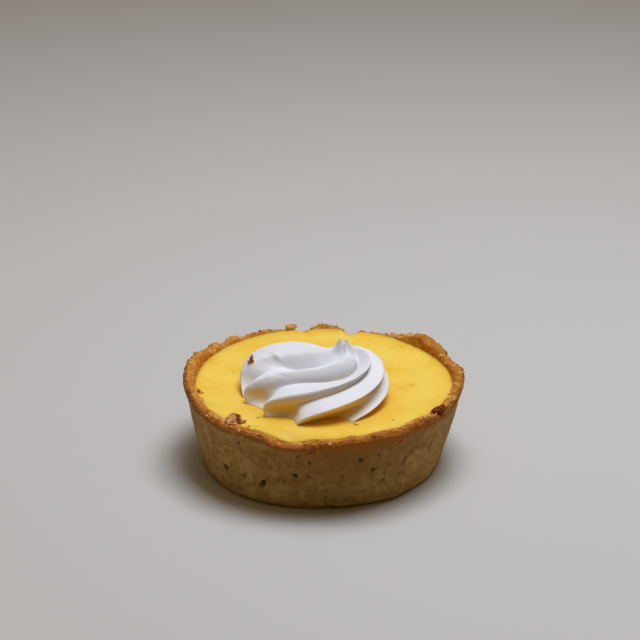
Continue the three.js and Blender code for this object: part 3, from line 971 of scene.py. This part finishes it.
@dataclass
class CustardFilling:
    """The custard, level in the shell and drawn down where the rim is low."""

    shell: PastryShell
    columns: int = 360
    rings: int = 90
    ring_bend: float = 1.5
    edge_zone: float = 5.0
    edge_cover: float = 0.5
    overlap: float = 0.45
    climb: float = 0.35
    climb_fade: float = 0.7
    lift_bend: float = 2.5
    hidden_height: float = 12.0
    waves: tuple[Waves, ...] = (Waves(0.09, 12.0, 21), Waves(0.035, 3.5, 22))
    pinholes: int = 46
    pinhole_reach: float = 44.0
    pinhole_depth: float = 0.16
    pinhole_radius: tuple[float, float] = (0.3, 0.55)
    amber_line: tuple[float, float] = (0.5, 1.1)
    amber_patches: tuple[float, float] = (0.35, 3.0)
    patches: tuple[Waves, ...] = (Waves(2.0, 5.0, 23),)
    # An amber ring of painted shade round the meringue's foot: its centre and reach, then how strong it is
    # and how fast it fades.
    painted_foot_shade: tuple[float, float, float] = (-1.5, -12.5, 25.0)
    painted_foot_shade_fade: tuple[float, float] = (0.45, 3.5)
    seed: int = 9

    def surface(self, x: float, y: float) -> float:
        """Works out where a bit that lies on the custard touches it.

        Args:
            x: The bit's place from left to right.
            y: Its place from front to back.

        Returns:
            The height of the custard's plain surface there.
        """
        bearing = np.array(math.degrees(math.atan2(y, x)))
        edge = float(self.shell.inner_radius(bearing, np.array(CUSTARD_LEVEL))) + self.overlap
        return CUSTARD_LEVEL + float(self.shell.lift(bearing)) * (math.hypot(x, y) / edge) ** self.lift_bend

    def build(self) -> bpy.types.Object:
        """Makes the filling.

        Returns:
            Its mesh, with the edge value that its material takes from it: how amber each point is, which
            round the meringue's foot is painted shade.
        """
        bearing = np.linspace(-180, 180, self.columns, endpoint=False)
        edge = self.shell.inner_radius(bearing, np.full_like(bearing, CUSTARD_LEVEL)) + self.overlap
        share = np.linspace(1, 0, self.rings, endpoint=False)[:, None]
        outward = 1 - (1 - share) ** self.ring_bend
        inset = np.maximum(edge * (1 - outward) - self.overlap, 0)
        rim = self.shell.rim_rise(bearing)
        low = np.minimum(0.0, rim + self.edge_cover)
        height = CUSTARD_LEVEL + low * (1 - ease(0, self.edge_zone, inset))
        height = height + self.climb * np.exp(-inset / self.climb_fade) * ease(0.0, 1.0, rim)
        height = height + self.shell.lift(bearing) * outward ** self.lift_bend
        flat = polar(bearing, edge * outward, height)
        height = height + relief(flat, self.waves)
        draw = np.random.default_rng(self.seed)
        for _ in range(self.pinholes):
            at = polar(draw.uniform(-180, 180), self.pinhole_reach * math.sqrt(draw.uniform(0, 1)), 0.0)
            apart = np.hypot(flat[..., 0] - at[0], flat[..., 1] - at[1])
            radius = draw.uniform(*self.pinhole_radius)
            height = height - self.pinhole_depth * np.exp(-((apart / radius) ** 2))
        top = polar(bearing, edge * outward, height)
        foot = self.shell.floor + CLEARANCE
        foot_radius = self.shell.inner_radius(bearing, np.full_like(bearing, self.hidden_height)) - CLEARANCE
        side = polar(bearing, foot_radius, np.full_like(bearing, foot))
        grid = np.concatenate([side[None], top])
        piece = closed_grid("custard_filling", grid, (0, 0, foot), (0, 0, CUSTARD_LEVEL))
        (line, line_fade), (patch, patch_fade) = self.amber_line, self.amber_patches
        patchy = patch * np.exp(-inset / patch_fade) * np.clip(relief(flat, self.patches), 0, 1)
        amber = line * np.exp(-inset / line_fade) + patchy
        # Painted shade: an amber ring round the meringue's foot.
        x, y, reach = self.painted_foot_shade
        most, fade = self.painted_foot_shade_fade
        apart = np.maximum(np.hypot(flat[..., 0] - x, flat[..., 1] - y) - reach, 0)
        amber = np.maximum(amber, most * np.exp(-apart / fade))
        store(piece, "edge", np.concatenate([np.zeros((1, self.columns)), amber]))
        return piece


@dataclass(frozen=True)
class Ridge:
    """One ridge of the swirl, with the groove that follows it.

    It starts at a bearing, sweeps round by a turn and curls at its foot. Its groove has a depth and
    a share of the way to the next ridge at which it is deepest, each for the upper part and for the
    foot, and a share filled in at the skirt.
    """

    bearing: float
    turn: float
    sweep: float
    softness: float
    curl: float
    groove: float
    foot_groove: float
    valley: float
    foot_valley: float
    skirt: float


@dataclass(frozen=True)
class Lobe:
    """A side of the dome that swells or sinks; climb moves it up, or down if it is the heel's."""

    at: float
    spread: float
    swell: float
    climb: float


@dataclass(frozen=True)
class Tear:
    """A torn bit of skin: its place in ridges from the first, and how far it stands out or in."""

    ridge: float
    up: float
    rise: float


@dataclass
class MeringueSwirl:
    """The piped meringue: a leaning dome with deep, twisted ridges and a double tip.

    Its bearings are about the crown. A share is of the way up, from 0 at the foot to 1 at the crown.
    """

    foot: tuple[float, float] = (-2.0, -12.2)
    crown: tuple[float, float] = (7.1, -3.1)
    radius: float = 26.4
    height: float = 14.6
    roundness: float = 1.04
    lift: float = 0.77
    lean: float = 2.67
    tuck: float = 0.045
    tuck_fade: float = 6.0
    heel: Lobe = Lobe(-170, 16, 0.05, 2)
    lobes: tuple[Lobe, ...] = (Lobe(157, 36, 0.42, 1), Lobe(98, 46, -0.62, 1.9))
    curl_fade: float = 0.12
    crest_round: float = 0.08
    under_steepness: float = 1.25
    foot_steepness: float = 3.0
    over_steepness: float = 1.35
    groove_fade: float = 3.0
    inward_bend: float = 3.0
    skirt_fade: float = 0.02
    foot_fade: float = 0.13
    plain_bend: float = 1.5
    sunk: float = 0.25
    torn_crests: tuple[Waves, ...] = (Waves(0.16, 2.4, 41),)
    torn_width: float = 0.25
    skin: tuple[Waves, ...] = (Waves(0.1, 5.0, 42), Waves(0.03, 1.4, 43))
    smooth_foot: float = 0.08
    # These settings place the painted yellow bounce light from the custard and the painted grey shade in the
    # grooves.
    painted_bounce_height: float = 9.5
    painted_bounce_edge: int = 4
    painted_bounce_least: float = 0.3
    painted_bounce_bend: float = 0.4
    painted_bounce_slope: float = 0.5
    cavity_painted_bounce: float = 0.7
    cavity_fade: float = 3.0
    painted_shade_bend: float = 0.5
    painted_shade_slope: tuple[float, float] = (0.2, 0.95)
    painted_shade_end: tuple[float, float] = (0.8, 0.95)
    columns_per_ridge: int = 36
    rows: int = 250
    tips: tuple[tuple[float, float, float], ...] = ((6.0, -3.2, 4.6), (8.6, -3.0, 5.1))
    tip_radius: float = 4.0
    tip_sharpness: float = 2.5
    tip_blend: float = 3.0
    tip_bluntness: float = 0.02
    tears: tuple[Tear, ...] = (Tear(0.02, 0.56, 0.5), Tear(1.0, 0.46, -0.25), Tear(3.75, 0.3, -0.4))
    tear_sharpness_across: float = 9.0
    tear_sharpness_up: float = 42.0
    back_sink: tuple[float, float, float] = (1.1, 0.66, 0.12)
    back_sink_width: float = 0.45
    ridges: tuple[Ridge, ...] = (
        Ridge(-181, 113, 1.05, 0.097, 19, 8.0, 6.8, 0.5, 0.46, 0.65),
        Ridge(-160, 140, 0.81, 0.13, 5, 8.2, 7.2, 0.62, 0.74, 0.6),
        Ridge(-143, 198, 0.63, 0.13, 6.5, 6.0, 6.8, 0.56, 0.72, 0.3),
        Ridge(-120, 171, 0.4, 0.11, 0, 3.6, 6.4, 0.28, 0.82, 0),
        Ridge(-121.5, 187, 0.165, 0.12, 0, 5.2, 5.2, 0.45, 0.5, 0),
        Ridge(-75, 160, 0.1, 0.145, 0, 4.6, 4.6, 0.45, 0.45, 0.3),
        Ridge(-4, 105, 0.17, 0.16, 0, 4.4, 4.4, 0.45, 0.45, 0.5),
        Ridge(72, 52, 0.42, 0.14, 0, 4.0, 4.0, 0.45, 0.45, 0.65),
        Ridge(127, 66, 0.83, 0.1, 0, -1.2, -1.2, 0.37, 0.37, 0.65),
    )

    def dome(self, bearing: np.ndarray, share: np.ndarray) -> np.ndarray:
        """Works out the plain dome that the ridges are cut from.

        Args:
            bearing: Each point's bearing about the crown.
            share: How far up the dome it lies, from 0 to 1.

        Returns:
            The points.
        """
        foot, crown = np.array(self.foot), np.array(self.crown)
        angle = share * math.pi / 2
        rise = np.sin(angle) ** self.lift
        heel = self.heel.swell * bell(bearing, self.heel.at, self.heel.spread)
        fullness = 1 + heel * (1 - share) ** self.heel.climb
        for lobe in self.lobes:
            upward = np.sin(share ** lobe.climb * math.pi)
            fullness = fullness + lobe.swell * bell(bearing, lobe.at, lobe.spread) * upward
        tucked = 1 - self.tuck * (1 - share) ** self.tuck_fade
        radius = self.radius * np.cos(angle) ** self.roundness * tucked * fullness
        inset = (crown - foot) * (1 - rise ** self.lean)[..., None]
        direction = np.stack([np.cos(np.radians(bearing)), np.sin(np.radians(bearing))], -1)
        along = (direction * inset).sum(-1)
        reach = np.sqrt(np.maximum(along ** 2 - (inset ** 2).sum(-1) + radius ** 2, 0)) - along
        flat = crown + direction * reach[..., None]
        return np.concatenate([flat, (CUSTARD_LEVEL + self.height * rise)[..., None]], -1)

    def dome_normal(self, bearing: np.ndarray, share: np.ndarray) -> np.ndarray:
        """Works out which way the plain dome faces, from points a small step apart.

        Args:
            bearing: Each point's bearing about the crown.
            share: How far up the dome it lies, from 0 to 1.

        Returns:
            The outward direction at each point, of length 1.
        """
        step, top = 0.01, 0.9995
        along = self.dome(bearing + 1, share) - self.dome(bearing - 1, share)
        above = self.dome(bearing, np.minimum(share + step, top))
        below = self.dome(bearing, np.maximum(share - step, 0))
        normal = np.cross(along, above - below)
        return normal / np.maximum(np.linalg.norm(normal, axis=-1, keepdims=True), 1e-9)

    def crest(self, index: int, share: np.ndarray) -> np.ndarray:
        """Follows the crest of a ridge up the dome.

        Args:
            index: The ridge's number; past the last, the first follows again a lap further on.
            share: How far up the dome each point lies, from 0 to 1.

        Returns:
            The crest's bearing about the crown at each point.
        """
        ridge = self.ridges[index % len(self.ridges)]
        lap = 360 * (index // len(self.ridges))
        swept = ridge.turn / (1 + np.exp((ridge.sweep - share) / ridge.softness))
        return ridge.bearing + lap + swept + ridge.curl * np.exp(-share / self.curl_fade)

    def peaks(self, flat: np.ndarray) -> np.ndarray:
        """Works out the two tips, pulled up as the bag was lifted.

        Args:
            flat: Points, of which only x and y count.

        Returns:
            How far the tips stand above the crown at each point.
        """
        total = np.zeros(flat.shape[:-1])
        for x, y, tall in self.tips:
            apart = np.sqrt((flat[..., 0] - x) ** 2 + (flat[..., 1] - y) ** 2 + self.tip_bluntness)
            rise = tall * np.clip(1 - apart / self.tip_radius, 0, 1) ** self.tip_sharpness
            total += rise ** self.tip_blend
        return total ** (1 / self.tip_blend)

    def cuts(
        self, ridge: np.ndarray, across: np.ndarray, shares: np.ndarray,
    ) -> tuple[np.ndarray, np.ndarray, np.ndarray]:
        """Works out the grooves between the ridges.

        Args:
            ridge: Each column's ridge.
            across: How far each column lies on the way to the next ridge, from 0 to 1.
            shares: How far up the dome each point lies, from 0 to 1.

        Returns:
            How deep the groove is, negative where it swells instead; how far down in it each point
            lies, from 0 on a crest to about 1 at the bottom; and the same for a groove that doesn't
            fade out at its ends.
        """
        groove, foot_groove, valley, foot_valley, skirt = (
            np.array([getattr(item, name) for item in self.ridges])[ridge]
            for name in ("groove", "foot_groove", "valley", "foot_valley", "skirt")
        )
        near_foot = np.exp(-((shares / self.foot_fade) ** 2))
        groove = groove + (foot_groove - groove) * near_foot
        deepest = valley + (foot_valley - valley) * near_foot
        steepness = self.under_steepness + (self.foot_steepness - self.under_steepness) * near_foot
        under = 1 - (1 - np.clip(across / deepest, 0, 1)) ** steepness
        over = 1 - (1 - np.clip((1 - across) / (1 - deepest), 0, 1)) ** self.over_steepness
        cut = np.hypot(np.minimum(under, over), self.crest_round) - self.crest_round
        hollow = np.where(groove > 0, cut, np.sin(across * math.pi) ** self.plain_bend)
        opening = (1 - shares ** self.groove_fade) * (1 - skirt * np.exp(-shares / self.skirt_fade))
        return groove, hollow * opening, cut

    def skin_relief(
        self, shaped: np.ndarray, around: np.ndarray, shares: np.ndarray, cut: np.ndarray,
    ) -> np.ndarray:
        """Works out how the swirl's skin stands off its smooth shape.

        Args:
            shaped: The grooved dome's points.
            around: Each column's place, counted in ridges from the first.
            shares: How far up the dome each point lies, from 0 to 1.
            cut: How far each point lies below the crests.

        Returns:
            How far each point moves outward.
        """
        count = len(self.ridges)
        torn = relief(shaped, self.torn_crests) * np.exp(-cut / self.torn_width)
        moved = (torn + relief(shaped, self.skin)) * ease(0.0, self.smooth_foot, shares)
        for tear in self.tears:
            gap = np.minimum(np.abs(around - tear.ridge), count - np.abs(around - tear.ridge))
            across = (gap * self.tear_sharpness_across) ** 2
            along = ((shares - tear.up) * self.tear_sharpness_up) ** 2
            moved = moved + tear.rise * np.exp(-(across + along))
        sink, up, spread = self.back_sink
        beside = np.abs(around - (count - 1))
        last_ridge = 1 - ease(0.0, self.back_sink_width, beside)
        return moved - sink * np.exp(-((shares - up) / spread) ** 2) * last_ridge

    def build(self) -> bpy.types.Object:
        """Makes the swirl.

        Returns:
            Its mesh, with the values of painted bounce light and painted shade that its material takes from
            it.
        """
        count = len(self.ridges)
        around = np.arange(count * self.columns_per_ridge) / self.columns_per_ridge
        ridge = around.astype(int)
        across = around - ridge
        share = np.linspace(0, 1, self.rows, endpoint=False)
        crests = np.stack([self.crest(index, share) for index in range(count + 1)], -1)
        bearing = crests[:, ridge] * (1 - across) + crests[:, ridge + 1] * across
        shares = np.broadcast_to(share[:, None], (self.rows, len(around)))
        groove, hollow, cut = self.cuts(ridge, across, shares)
        normal = self.dome_normal(bearing, shares)
        level = np.ones_like(shares)
        inward = normal * np.stack([level, level, shares ** self.inward_bend], -1)
        inward /= np.maximum(np.linalg.norm(inward, axis=-1, keepdims=True), 1e-9)
        shaped = self.dome(bearing, shares) - inward * (groove * hollow)[..., None]
        shaped = shaped + normal * self.skin_relief(shaped, around, shares, cut)[..., None]
        shaped[..., 2] = np.maximum(shaped[..., 2], CUSTARD_LEVEL + CLEARANCE) + self.peaks(shaped)
        shaped[0, :, 2] = CUSTARD_LEVEL - self.sunk
        top = CUSTARD_LEVEL + self.height + float(self.peaks(np.array([*self.crown, 0.0])))
        piece = closed_grid(
            "meringue_swirl", shaped, (*self.foot, CUSTARD_LEVEL - self.sunk), (*self.crown, top),
        )
        # Painted light: yellow bounce from the custard on steep faces and in hollows near it, and grey shade
        # in the grooves higher up.
        upright = grid_normals(shaped)[..., 2]
        height = (shaped[..., 2] - CUSTARD_LEVEL) / self.painted_bounce_height
        low = np.exp(-(height ** self.painted_bounce_edge))
        cavity = np.clip(hollow, 0, 1)
        steep = 1 - ease(0.0, self.painted_bounce_slope, upright)
        lit = self.painted_bounce_least + (1 - self.painted_bounce_least) * cavity ** self.painted_bounce_bend
        facing_custard = steep * low * lit
        near_custard = self.cavity_painted_bounce * cavity * np.exp(-((self.cavity_fade * height) ** 2))
        store(piece, "painted_bounce", np.maximum(facing_custard, near_custard))
        painted_groove_shade = cavity ** self.painted_shade_bend * (1 - ease(*self.painted_shade_slope, upright))
        store(piece, "hollow", painted_groove_shade * (1 - low) * (1 - ease(*self.painted_shade_end, shares)))
        return piece


@dataclass(frozen=True)
class Lump:
    """One rough lump: its centre, its half sizes, how it is turned and its random pattern."""

    centre: tuple[float, float, float]
    size: tuple[float, float, float]
    turn: tuple[float, float, float]
    seed: int


@dataclass
class CrumbCluster:
    """Rough lumps of baked dough or peel, joined in one piece."""

    name: str
    lumps: Sequence[Lump]
    detail: int = 2
    roughness: float = 0.35

    def build(self) -> bpy.types.Object:
        """Makes the cluster from rough balls.

        Returns:
            Its mesh.
        """
        ball = bmesh.new()
        bmesh.ops.create_icosphere(ball, subdivisions=self.detail, radius=1)
        unit = np.array([vertex.co for vertex in ball.verts])
        corners = [[vertex.index for vertex in face.verts] for face in ball.faces]
        ball.free()
        points, faces = [], []
        for lump in self.lumps:
            uneven = relief(unit, (Waves(1.0, 0.9, lump.seed), Waves(0.6, 0.4, lump.seed + 1)))
            rough = 1 + self.roughness * uneven
            turned = np.array(Euler([math.radians(angle) for angle in lump.turn]).to_matrix())
            body = (unit * rough[:, None] * lump.size) @ turned.T + lump.centre
            start = sum(len(part) for part in points)
            points.append(body)
            faces += [[start + corner for corner in face] for face in corners]
        return new_piece(self.name, np.concatenate(points), faces)


@dataclass
class LooseBits:
    """The crumbs, specks and peel that lie on the pie, each where it shows or scattered."""

    shell: PastryShell
    custard: CustardFilling
    swirl: MeringueSwirl
    rim_crumbs: int = 90
    zest_flecks: int = 26
    zest_reach: float = 43.0
    seed: int = 14

    def flake_on_custard(self) -> bpy.types.Object:
        """Makes the big, folded flake of pastry at the front left.

        Returns:
            The flake, as one piece.
        """
        level = CUSTARD_LEVEL
        parts = (
            Lump((-30.9, -33.7, level + 1.3), (2.5, 1.9, 0.8), (40, -8, 8), 1),
            Lump((-32.4, -34.4, level + 0.9), (1.5, 1.7, 0.8), (14, 30, -20), 4),
            Lump((-29.3, -34.6, level + 0.8), (1.9, 1.3, 0.7), (34, -18, -18), 7),
            Lump((-27.7, -34.2, level + 0.45), (1.4, 0.6, 0.4), (0, -12, -14), 12),
            Lump((-31.0, -35.8, level + 0.3), (2.0, 0.6, 0.4), (0, 6, 10), 15),
        )
        return CrumbCluster("custard_flake", parts, detail=4, roughness=0.3).build()

    def scorched_bit(self) -> bpy.types.Object:
        """Makes the burnt bit on the right of the rim.

        Returns:
            The burnt bit, as one piece.
        """
        spots = (
            (-31.0, -1.1, 1.2), (-32.2, -1.5, 1.4), (-33.6, -1.9, 1.4), (-34.8, -2.3, 1.1),
            (-32.6, -2.6, 1.1),
        )
        parts = []
        for index, (bearing, inset, size) in enumerate(spots):
            place = np.array(bearing)
            radius = float(self.shell.outer_radius(place, np.array(CUSTARD_LEVEL))) + inset
            height = CUSTARD_LEVEL + float(self.shell.rim_rise(place)) + 0.5 + 0.2 * inset
            centre = tuple(polar(place, radius, height))
            parts.append(Lump(centre, (size, size, size * 1.1), (10 * index, 25, bearing), 60 + index))
        return CrumbCluster("scorched_rim_bit", parts, detail=3, roughness=0.5).build()

    def shard_on_swirl(self) -> bpy.types.Object:
        """Makes the golden shard stuck to the left of the meringue.

        Returns:
            The shard, as one piece.
        """
        share = np.array([0.38])
        at = self.swirl.dome(self.swirl.crest(0, share), share)[0]
        parts = (
            Lump((at[0], at[1] - 0.3, at[2] + 0.6), (0.7, 0.6, 2.1), (6, 8, 0), 80),
            Lump((at[0] - 0.6, at[1] - 0.2, at[2] - 0.4), (0.6, 0.5, 1.1), (0, -24, 20), 83),
            Lump((at[0] + 0.5, at[1] - 0.4, at[2] - 0.3), (0.6, 0.5, 1.0), (10, 16, 40), 85),
        )
        return CrumbCluster("swirl_shard", parts, detail=3, roughness=0.4).build()

    def crumbs_on_rim(self) -> bpy.types.Object:
        """Makes the small crumbs along the rim and just inside it.

        Returns:
            The crumbs, as one piece.
        """
        draw = np.random.default_rng(self.seed)
        blocks = (
            (103.6, 0.42, 1.4, 0.6), (105.8, 0.5, 1.15, 0.5), (59.5, 0.5, 0.7, 0.1),
            (56.8, 0.5, 0.55, 0.1), (51.0, 0.5, 0.6, 0.1), (-43.2, 0.4, 0.6, 0.1),
            (-41.0, 0.45, 0.5, 0.1), (-39.4, 0.4, 0.45, 0.1),
        )
        crumbs = list(blocks)
        for _ in range(self.rim_crumbs):
            crumbs.append((draw.uniform(-180, 180), draw.uniform(0.2, 0.85), draw.uniform(0.25, 0.55), -0.1))
        parts = []
        for index, (bearing, across, size, proud) in enumerate(crumbs):
            centre = self.shell.rim_point(bearing, across) + (0, 0, proud)
            stretch = tuple(draw.uniform(0.7, 1.3, 3) * size)
            parts.append(Lump(tuple(centre), stretch, tuple(draw.uniform(0, 180, 3)), 100 + index))
        return CrumbCluster("rim_crumbs", parts, detail=2, roughness=0.45).build()

    def specks_on_custard(self) -> bpy.types.Object:
        """Makes the few dark specks on the custard.

        Returns:
            The specks, as one piece.
        """
        places = (
            (-22.6, -30.4, 0.42), (24.3, -32.0, 0.36), (-33.0, 8.5, 0.22), (38.0, 3.0, 0.2),
            (14.5, 31.0, 0.22),
        )
        parts = [
            Lump(
                (x, y, self.custard.surface(x, y) + 0.05), (size, size * 0.8, size * 0.5),
                (0, 0, 40 * x), 300 + index,
            )
            for index, (x, y, size) in enumerate(places)
        ]
        return CrumbCluster("custard_specks", parts, detail=2, roughness=0.4).build()

    def toasted_crumbs(self) -> bpy.types.Object:
        """Makes the orange-brown crumbs inside the rim on the left and at the front.

        Returns:
            The crumbs, as one piece.
        """
        level = CUSTARD_LEVEL
        parts = (
            Lump((-43.2, -17.6, level + 0.5), (1.1, 1.4, 0.9), (20, 0, 30), 200),
            Lump((-42.3, -19.4, level + 0.2), (0.7, 0.8, 0.5), (0, 30, 10), 203),
            Lump((-44.8, -8.4, level + 0.4), (1.2, 1.0, 0.7), (0, 20, 50), 206),
            Lump((-43.7, -9.8, level + 0.2), (0.9, 0.8, 0.4), (0, 0, 20), 208),
            Lump((-25.6, -37.4, level + 0.1), (0.6, 0.4, 0.25), (0, 0, 10), 210),
            Lump((11.2, -35.6, level + 0.05), (1.1, 0.5, 0.16), (0, 0, -20), 212),
        )
        return CrumbCluster("toasted_crumbs", parts, detail=3, roughness=0.4).build()

    def zest(self) -> bpy.types.Object:
        """Makes the flecks and the one strand of peel in the custard's skin.

        Returns:
            The peel, as one piece.
        """
        draw = np.random.default_rng(self.seed + 1)
        placed = (
            (30.0, 32.2, 1.1, 0.9, 30), (40.6, 19.0, 1.0, 0.8, 80), (32.2, -2.6, 0.9, 0.8, -35),
            (-23.1, -37.2, 1.7, 0.3, -8),
        )
        parts = [
            Lump((x, y, self.custard.surface(x, y)), (long, wide, 0.14), (0, 0, turn), 400 + index)
            for index, (x, y, long, wide, turn) in enumerate(placed)
        ]
        for index in range(self.zest_flecks):
            bearing = draw.uniform(-180, 180)
            x, y, _ = polar(bearing, self.zest_reach * math.sqrt(draw.uniform(0.05, 1)), 0.0)
            long = draw.uniform(0.3, 0.7)
            turn = (0, 0, draw.uniform(0, 180))
            parts.append(Lump((x, y, self.custard.surface(x, y)), (long, long * 0.5, 0.1), turn, 410 + index))
        return CrumbCluster("zest_flecks", parts, detail=2, roughness=0.3).build()


@dataclass(frozen=True)
class SoftLight:
    """A square panel of soft light: its place and side in millimetres, and its power in watts."""

    name: str
    place: tuple[float, float, float]
    side: float
    power: float


@dataclass
class Studio:
    """The plain floor, the soft lights and the camera at the photograph's angle."""

    pitch: float = 22.44
    lens: float = 108.6
    sensor: float = 36.0
    eye: tuple[float, float, float] = (-1.0, -638.1, 316.8)
    floor_width: float = 3000.0
    room: str = "f2cc84"
    ambient: float = 0.17
    daylight: str = "eff4ff"
    lights: tuple[SoftLight, ...] = (
        SoftLight("softbox", (130.0, 90.0, 800.0), 420.0, 5.6),
        SoftLight("ceiling_panel", (0.0, 300.0, 1700.0), 1500.0, 3.5),
    )
    aim: tuple[float, float, float] = (0.0, 0.0, 30.0)

    def lay_floor(self) -> None:
        """Lays the floor under the pie."""
        bpy.ops.mesh.primitive_plane_add(size=self.floor_width * MM)
        floor = bpy.context.object
        floor.name = "floor"
        floor.data.materials.append(PaintedBoard().build())

    def hang_lights(self) -> None:
        """Hangs the soft lights and lights the room evenly."""
        for light in self.lights:
            lamp = bpy.data.lights.new(light.name, "AREA")
            lamp.shape = "SQUARE"
            lamp.size = light.side * MM
            lamp.energy = light.power
            lamp.color = linear(self.daylight)[:3]
            holder = bpy.data.objects.new(light.name, lamp)
            holder.location = Vector(light.place) * MM
            way = Vector(self.aim) - Vector(light.place)
            holder.rotation_euler = way.to_track_quat("-Z", "Y").to_euler()
            bpy.context.scene.collection.objects.link(holder)
        world = bpy.data.worlds.new("studio")
        world.use_nodes = True
        sky = world.node_tree.nodes["Background"]
        sky.inputs["Color"].default_value = linear(self.room)
        sky.inputs["Strength"].default_value = self.ambient
        bpy.context.scene.world = world

    def set_camera(self) -> None:
        """Sets the camera where the photograph was taken from."""
        camera = bpy.data.cameras.new("camera")
        camera.lens = self.lens
        camera.sensor_width = self.sensor
        holder = bpy.data.objects.new("camera", camera)
        holder.location = Vector(self.eye) * MM
        holder.rotation_euler = (math.radians(90 - self.pitch), 0, 0)
        bpy.context.scene.collection.objects.link(holder)
        bpy.context.scene.camera = holder
        bpy.context.scene.view_settings.view_transform = "Standard"


def main() -> None:
    """Builds the pie and the studio."""
    logging.basicConfig(level=logging.INFO, format="%(name)s: %(message)s")
    studio = Studio()
    studio.set_camera()
    studio.lay_floor()
    studio.hang_lights()
    shell = PastryShell()
    custard = CustardFilling(shell)
    swirl = MeringueSwirl()
    bits = LooseBits(shell, custard, swirl)
    pastry = BakedShortcrust().build()
    golden = BakedCrumb("golden_crumb", "e6bd80", "c08a44", 1.3).build()
    flaky = BakedCrumb("browned_flake", "dfa86c", "7a3c10", 2.2, (0.42, 0.54)).build()
    scorched = BakedCrumb("scorched_crumb", "823f16", "361605", 1.0).build()
    amber = BakedCrumb("baked_shard", "d8952f", "9c5410", 1.2).build()
    peel = BakedCrumb("lime_zest", "f4d624", "e8bc18", 0.6, roughness=0.5, depth=0.02).build()
    dress(shell.build(), pastry, Slot.CRUST, Node.CRUST)
    dress(bits.scorched_bit(), scorched, Slot.CRUST, Node.CRUST)
    dress(bits.crumbs_on_rim(), golden, Slot.CRUST)
    dress(custard.build(), SetCustard().build(), Slot.CUSTARD, Node.FILLING)
    dress(bits.flake_on_custard(), flaky, Slot.CUSTARD, Node.FILLING)
    dress(bits.specks_on_custard(), flaky, Slot.CUSTARD)
    dress(bits.toasted_crumbs(), amber, Slot.CUSTARD)
    dress(bits.zest(), peel, Slot.CUSTARD)
    dress(swirl.build(), WhippedMeringue().build(), Slot.MERINGUE, Node.MERINGUE)
    dress(bits.shard_on_swirl(), amber, Slot.MERINGUE, Node.MERINGUE)


if __name__ == "__main__":
    main()
